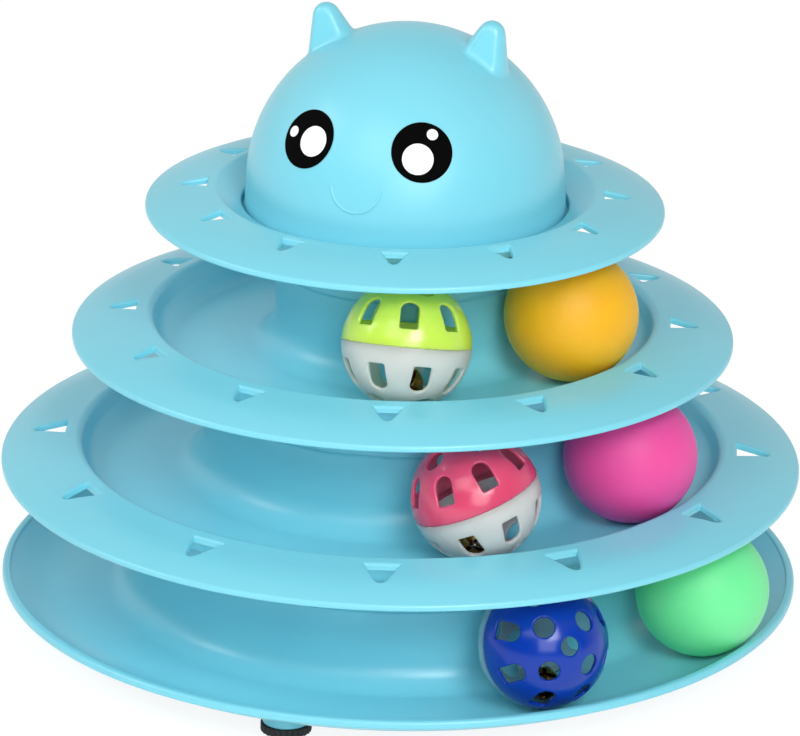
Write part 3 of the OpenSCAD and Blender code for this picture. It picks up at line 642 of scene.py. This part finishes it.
head = {"radius": 48.8, "centre": 140.2, "foot": 131.3, "flare": 0.5, "wall": 2.0,
        "voxel": 0.76, "near": 0.16, "edge": 0.35, "flat": 0.2,
        "tipR": 4.2, "tipReach": 7.4, "tipAngle": 28.0, "back": 0.2, "slope": 20.6, "lean": 15.7, "root": 16.0,
        "front": 3.5, "frontLean": 13.2, "earWall": 1.6,
        "smileR": 7.71, "smileRise": 14.7, "smileSweep": 86, "ridge": 0.55, "ridgeSunk": 0.25}

def domeSpace(inset):
    # solid of revolution inside the dome's outer face
    h = head
    r = h["radius"] - inset
    foot = h["foot"] - (5 if inset else 0)
    bm = bmesh.new()
    pole = bm.verts.new((0, 0, h["centre"] + r))
    bmesh.ops.spin(bm, geom=[pole], axis=(0, 1, 0), cent=(0, 0, h["centre"]), angle=math.radians(90), steps=90)
    if min(v.co.x for v in bm.verts) < -1:   # keep the arc on the +X side
        bmesh.ops.rotate(bm, cent=(0, 0, h["centre"]), matrix=Matrix.Rotation(math.pi, 3, "Z"), verts=bm.verts)
    bm.verts.ensure_lookup_table()
    low = min(bm.verts, key=lambda v: v.co.z)
    flare = h["flare"] * (h["centre"] - foot) / (h["centre"] - h["foot"])
    rim = bm.verts.new((r + flare, 0, foot))
    axis = bm.verts.new((0, 0, foot))
    bm.edges.new((low, rim))
    bm.edges.new((rim, axis))
    turnRound(bm, steps=240)
    return closeUp(bm)


def earSpace(side, inset):
    # cone with a round tip and a flat front
    h = head
    tip = h["tipR"] - inset
    slope = math.radians(h["slope"])
    foot = tip * math.cos(slope) + (tip * math.sin(slope) + h["root"]) * math.tan(slope)
    bm = bmesh.new()
    top = bm.verts.new((0, 0, tip))
    bmesh.ops.spin(bm, geom=[top], axis=(0, 1, 0), cent=(0, 0, 0), angle=math.radians(90) - slope, steps=14)
    if min(v.co.x for v in bm.verts) < -1e-3:
        bmesh.ops.rotate(bm, cent=(0, 0, 0), matrix=Matrix.Rotation(math.pi, 3, "Z"), verts=bm.verts)
    low = min(bm.verts, key=lambda v: v.co.z)
    rim = bm.verts.new((foot, 0, -h["root"]))
    axis = bm.verts.new((0, 0, -h["root"]))
    bm.edges.new((low, rim))
    bm.edges.new((rim, axis))
    turnRound(bm, steps=96)
    closeUp(bm)
    lean = Matrix.Rotation(math.radians(-h["frontLean"]), 3, "X")
    cut = bmesh.ops.bisect_plane(bm, geom=bm.verts[:] + bm.edges[:] + bm.faces[:], clear_outer=True,
                                 plane_co=lean @ Vector((0, inset - h["front"], 0)),
                                 plane_no=lean @ Vector((0, -1, 0)))
    bmesh.ops.edgeloop_fill(bm, edges=[g for g in cut["geom_cut"] if isinstance(g, bmesh.types.BMEdge)])
    bmesh.ops.recalc_face_normals(bm, faces=bm.faces)
    out = h["radius"] + h["tipReach"]
    angle = math.radians(h["tipAngle"])
    spot = Matrix.Translation((side * out * math.sin(angle), h["back"], h["centre"] + out * math.cos(angle)))
    return placed(bm, spot @ Matrix.Rotation(math.radians(side * h["lean"]), 4, "Y"))


def onDome(turn, rise):
    return (Matrix.Translation((0, 0, head["centre"])) @ Matrix.Rotation(math.radians(turn), 4, "Z")
            @ Matrix.Rotation(math.radians(90 - rise), 4, "X"))


def makeHead():
    h = head
    bm = domeSpace(0)
    for side in (-1, 1):
        bm = combine(bm, earSpace(side, 0), "UNION")
    for side in (-1, 1):
        bm = combine(bm, earSpace(side, h["earWall"]), "DIFFERENCE")
    bm = combine(bm, domeSpace(h["wall"]), "DIFFERENCE")
    bm = recast(bm, h["voxel"])
    soften(bm, 2)
    centre = Vector((0, 0, h["centre"]))
    for vert in bm.verts:   # back onto the true dome, except where an ear's root is rounded
        out = vert.co - centre
        for r in (h["radius"], h["radius"] - h["wall"]):
            flare = h["flare"] * max(0, -out.z) / (h["centre"] - h["foot"])
            length = out.length if out.z >= 0 else out.xy.length
            if abs(length - r - flare) < h["near"] and vert.co.z > h["foot"] + h["edge"]:
                if out.z >= 0:
                    vert.co = centre + out * (r / length)
                else:
                    vert.co.xy = vert.co.xy * ((r + flare) / length)
        if abs(vert.co.z - h["foot"]) < h["flat"]:
            vert.co.z = h["foot"]
    # the smile: a raised ridge with round ends
    smile = bmesh.new()
    bmesh.ops.create_circle(smile, radius=h["ridge"], segments=20)
    placed(smile, Matrix.Rotation(math.radians(-90 - h["smileSweep"]), 4, "Z")
           @ Matrix.Translation((h["smileR"], 0, 0)) @ Matrix.Rotation(math.radians(90), 4, "X"))
    sweep = 2 * math.radians(h["smileSweep"])
    bmesh.ops.spin(smile, geom=smile.verts[:] + smile.edges[:], axis=(0, 0, 1), cent=(0, 0, 0), angle=sweep, steps=64)
    for side in (-1, 1):
        end = bmesh.new()
        bmesh.ops.create_uvsphere(end, u_segments=20, v_segments=12, radius=h["ridge"] * 0.995)
        angle = math.radians(-90 + side * h["smileSweep"])
        spot = (h["smileR"] * math.cos(angle), h["smileR"] * math.sin(angle), 0)
        joinTo(smile, placed(end, Matrix.Translation(spot)))
    out = math.sqrt(h["radius"] ** 2 - h["smileR"] ** 2) - h["ridgeSunk"]
    placed(smile, onDome(0, h["smileRise"]) @ Matrix.Translation((0, 0, out)))
    bmesh.ops.recalc_face_normals(smile, faces=smile.faces)
    joinTo(bm, smile)
    finishPiece(bm, "headDome", finish["glossAbs"], "head", ["head_dome"], sharp=60)

makeHead()
print("head moulded")

eyes = {"width": 18.3, "turn": 24.7, "rise": 28.2, "gap": 0.05, "thick": 0.2, "lightThick": 0.1,
        "bigLight": 9.4, "bigOut": 2.54, "smallLight": 3.4, "smallOut": 6.2, "ways": {"left": 172, "right": 58}}

def cap(width, inner, outer, out=0, way=0):
    # thin round patch of a sphere's skin about local z
    bm = bmesh.new()
    span = math.asin(width / 2 / outer)
    for r in (inner, outer):
        top = bm.verts.new((0, 0, r))
        bmesh.ops.spin(bm, geom=[top], axis=(0, 1, 0), cent=(0, 0, 0), angle=span, steps=16)
    ends = sorted(bm.verts, key=lambda v: -abs(v.co.x))[:2]
    bm.edges.new(ends)
    turnRound(bm, steps=128)
    closeUp(bm)
    lift = math.asin(out / outer)
    return placed(bm, Matrix.Rotation(math.radians(way), 4, "Z") @ Matrix.Rotation(lift, 4, "Y"))


def makeEyes():
    e = eyes
    r = head["radius"] + e["gap"]
    for name, side in (("left", -1), ("right", 1)):
        spot = onDome(side * e["turn"], e["rise"])
        disc = placed(cap(e["width"], r, r + e["thick"]), spot)
        finishPiece(disc, name + "Eye", finish["blackInk"], "head", [name + "_eye"])
        low = r + e["thick"] + e["gap"]
        way = e["ways"][name]
        lights = cap(e["bigLight"], low, low + e["lightThick"], e["bigOut"], way + 180)
        joinTo(lights, cap(e["smallLight"], low, low + e["lightThick"], e["smallOut"], way))
        finishPiece(placed(lights, spot), name + "EyeLights", finish["whiteInk"], "head",
                    [name + "_eye_lights"])

makeEyes()


# Plain balls: one closed skin each, with a faint weld line; the real balls are hollow

plainBall = {"radius": 20.4, "line": 0.05, "lineWidth": 0.5}
plainBalls = {   # distance from the axis, angle from the face, height, turn of the weld line
    "orange": {"r": 60.6, "angle": 75.25, "z": 109.8, "spin": (70, 20)},
    "magenta": {"r": 82.6, "angle": 75.7, "z": 68.8, "spin": (62, 200)},
    "green": {"r": 106.0, "angle": 79.1, "z": 28.5, "spin": (75, 120)},
}

def spotOf(b):
    a = math.radians(b["angle"])
    return Vector((b["r"] * math.sin(a), -b["r"] * math.cos(a), b["z"]))


def makePlainBall(name):
    b, p = plainBalls[name], plainBall
    bm = bmesh.new()
    top = bm.verts.new((0, 0, p["radius"]))
    bmesh.ops.spin(bm, geom=[top], axis=(0, 1, 0), cent=(0, 0, 0), angle=math.pi, steps=120)
    for vert in bm.verts:
        if abs(vert.co.z) < p["lineWidth"]:
            vert.co.x -= math.copysign(p["line"] * (1 - abs(vert.co.z) / p["lineWidth"]), vert.co.x)
    turnRound(bm, steps=160)
    closeUp(bm)
    turn = Matrix.Rotation(math.radians(b["spin"][1]), 4, "Z") @ Matrix.Rotation(math.radians(b["spin"][0]), 4, "Y")
    placed(bm, Matrix.Translation(spotOf(b)) @ turn)
    finishPiece(bm, name + "Ball", finish[name + "Polypropylene"], name, [name + "_ball"])

for name in plainBalls:
    makePlainBall(name)
print("plain balls made")


# Bell balls: openwork half shells round a jingle bell

shell = {"radius": 19.5, "wall": 1.2, "voxel": 0.3, "slotPolar": 60, "slotWidth": 5.4, "slotLength": 8.8,
         "holePolar": 29, "holeWidth": 6.2, "poleWidth": 5.7, "rim": 0.7, "lip": 1.2, "lipWall": 0.54, "play": 0.05,
         "near": 0.1, "flat": 0.12, "gap": 0.01}
bellBalls = {
    "lime": {"r": 59.7, "angle": 19.6, "z": 108.9, "tilt": 17, "turn": 95, "spins": (35.7, 37.6), "back": "pale",
             "looks": ("limePolystyrene", "milkyPolystyrene"), "slots": ("lime_plastic", "pale_plastic")},
    "pink": {"r": 81.7, "angle": 34.5, "z": 67.9, "tilt": 23.5, "turn": 188.3, "spins": (55.6, 29.6), "back": "pale",
             "looks": ("pinkPolystyrene", "milkyPolystyrene"), "slots": ("pink_plastic", "pale_plastic")},
    "blue": {"r": 103.3, "angle": 43.2, "z": 27.6, "tilt": 71.3, "turn": -47, "spins": (45.3, 30), "back": "clear",
             "looks": ("bluePolystyrene", "clearPolystyrene"), "slots": ("blue_plastic", "clear_plastic")},
}

def onShell(turn, polar):
    return Matrix.Rotation(math.radians(turn), 4, "Z") @ Matrix.Rotation(math.radians(polar), 4, "Y")


def roundHole(width):
    w = width / 2
    return [(-w, -w, w, 10), (w, -w, w, 10), (w, w, w, 10), (-w, w, w, 10)]


def openings():
    # all thirteen cutters of one half, apart from each other, with flared mouths
    s = shell
    r, rim = s["radius"], s["rim"]
    levels = [(14, 0), (r - rim, 0), (r - rim * 0.5, rim * 0.134), (r - rim * 0.134, rim * 0.5), (r + 0.05, rim),
              (r + 1.2, rim * 2.6)]
    half, reach = s["slotWidth"] / 2, s["slotLength"] / 2
    slot = [(-reach, -half, half, 12), (reach, -half, 0.5, 4), (reach, half, 0.5, 4), (-reach, half, half, 12)]
    tool = bmesh.new()
    for k in range(8):
        joinTo(tool, placed(flaredPrism(slot, levels), onShell(45 * k + 22.5, s["slotPolar"])))
    for k in range(4):
        joinTo(tool, placed(flaredPrism(roundHole(s["holeWidth"]), levels), onShell(90 * k, s["holePolar"])))
    return joinTo(tool, flaredPrism(roundHole(s["poleWidth"]), levels))


def arcPoint(bm, r, start, angle, steps):
    vert = bm.verts.new((r * math.sin(start), 0, r * math.cos(start)))
    bmesh.ops.spin(bm, geom=[vert], axis=(0, 1, 0), cent=(0, 0, 0), angle=angle, steps=steps)


def halfShell(withLip):
    s = shell
    outer, inner = s["radius"], s["radius"] - s["wall"]
    bm = bmesh.new()
    for r in (outer, inner):
        arcPoint(bm, r, 0, math.pi / 2, 60)
    if min(v.co.x for v in bm.verts) < -1:
        bmesh.ops.rotate(bm, cent=(0, 0, 0), matrix=Matrix.Rotation(math.pi, 3, "Z"), verts=bm.verts)
    feet = sorted(bm.verts, key=lambda v: abs(v.co.z))[:2]
    bm.edges.new(feet)
    closeUp(turnRound(bm, steps=180))
    if not withLip:   # the rebate that takes the other half's lip
        w = inner + s["lipWall"] + s["play"]
        ring = [(inner - 2, -1, 0), (w, -1, 0), (w, s["lip"] + s["play"], 0), (inner - 2, s["lip"] + s["play"], 0)]
        bm = combine(bm, closeUp(turnRound(roundedWire(bmesh.new(), ring), steps=180)), "DIFFERENCE")
    bm = recast(combine(bm, openings(), "DIFFERENCE"), s["voxel"])
    soften(bm, 3)
    for vert in bm.verts:   # smooth skin back onto the true spheres
        length = vert.co.length
        for r in (outer, inner):
            if abs(length - r) < s["near"]:
                vert.co *= r / length
        if abs(vert.co.z) < s["flat"]:
            vert.co.z = s["gap"]
    if withLip:
        ring = [(inner, -s["lip"], 0.1), (inner + s["lipWall"], -s["lip"], 0.15),
                (inner + s["lipWall"], 0.5, 0), (inner, 0.5, 0)]
        joinTo(bm, closeUp(turnRound(roundedWire(bmesh.new(), ring), steps=180)))
    return bm


def makeBellBalls():
    plainHalf, lipHalf = bpy.data.meshes.new("plainHalf"), bpy.data.meshes.new("lipHalf")
    for mesh, withLip in ((plainHalf, False), (lipHalf, True)):
        bm = halfShell(withLip)
        bm.to_mesh(mesh)
        bm.free()
    for name, b in bellBalls.items():
        ball = (Matrix.Translation(spotOf(b)) @ Matrix.Rotation(math.radians(b["turn"]), 4, "Z")
                @ Matrix.Rotation(math.radians(b["tilt"]), 4, "Y"))
        flip = Matrix.Rotation(math.pi, 4, "X")
        halves = ((lipHalf, Matrix.Identity(4), name + "Half", name + "_half"),
                  (plainHalf, flip, name + "Ball" + b["back"].capitalize() + "Half",
                   name + "_ball_" + b["back"] + "_half"))
        for k, (mesh, way, piece, node) in enumerate(halves):
            bm = bmesh.new()
            bm.from_mesh(mesh)
            placed(bm, ball @ way @ Matrix.Rotation(math.radians(b["spins"][k]), 4, "Z"))
            finishPiece(bm, piece, finish[b["looks"][k]], name + "_shell", [node], sharp=70)
    bpy.data.meshes.remove(plainHalf)
    bpy.data.meshes.remove(lipHalf)

makeBellBalls()
print("bell balls made")

# each bell lies as it rolled: where its slots cross (angle from the face, rise), and the cross's own turn
jingle = {"radius": 5.2, "wall": 0.5, "drop": 12.8, "slot": 1.2, "slotTop": 1.4, "end": 2.2,
          "band": 0.12, "bandHalf": 0.45, "near": 0.15, "voxel": 0.2,
          "lies": {"lime": (28, 13, 30), "pink": (13, -7, 45), "blue": (33, 53, 8)}}

def makeJingles():
    j = jingle
    bm = bmesh.new()
    for r in (j["radius"], j["radius"] - j["wall"]):
        ball = bmesh.new()
        bmesh.ops.create_uvsphere(ball, u_segments=96, v_segments=64, radius=r)
        if r < j["radius"]:
            bmesh.ops.reverse_faces(ball, faces=ball.faces)
        joinTo(bm, ball)
    for k in range(2):
        slot = bmesh.new()
        bmesh.ops.create_cube(slot, size=1)
        bmesh.ops.scale(slot, vec=(30, j["slot"], 20), verts=slot.verts)
        bmesh.ops.translate(slot, vec=(0, 0, -10 - j["slotTop"]), verts=slot.verts)
        turn = Matrix.Rotation(math.radians(90 * k), 4, "Z")
        bm = combine(bm, placed(slot, turn), "DIFFERENCE")
        end = bmesh.new()
        bmesh.ops.create_cone(end, cap_ends=True, segments=32, radius1=j["end"] / 2, radius2=j["end"] / 2, depth=30)
        across = turn @ Matrix.Translation((0, 0, -j["slotTop"])) @ Matrix.Rotation(math.pi / 2, 4, "Y")
        bm = combine(bm, placed(end, across), "DIFFERENCE")
    bm = recast(bm, j["voxel"])
    soften(bm, 1)
    for vert in bm.verts:   # the pressed halves meet in a narrow raised band
        if vert.co.length > j["radius"] - j["near"]:
            vert.co.xy *= 1 + j["band"] / j["radius"] * max(0, 1 - (vert.co.z / j["bandHalf"]) ** 2)
    pattern = bpy.data.meshes.new("jingle")
    bm.to_mesh(pattern)
    bm.free()
    for name, b in bellBalls.items():
        bm = bmesh.new()
        bm.from_mesh(pattern)
        way, rise, twist = (math.radians(a) for a in j["lies"][name])
        placed(bm, Matrix.Translation(spotOf(b) - Vector((0, 0, j["drop"]))) @ Matrix.Rotation(way, 4, "Z")
               @ Matrix.Rotation(-math.pi / 2 - rise, 4, "X") @ Matrix.Rotation(twist, 4, "Z"))
        finishPiece(bm, name + "BallBell", finish["platedBrass"], name + "_bell", [name + "_ball_bell"],
                    sharp=50)
        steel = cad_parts[name + "_bell_pellet"]
        steel.data.materials.clear()
        steel.data.materials.append(finish["polishedSteel"])
    bpy.data.meshes.remove(pattern)

makeJingles()
print("jingle bells made")

bpy.context.scene.view_settings.view_transform = "Standard"
bpy.context.view_layer.update()
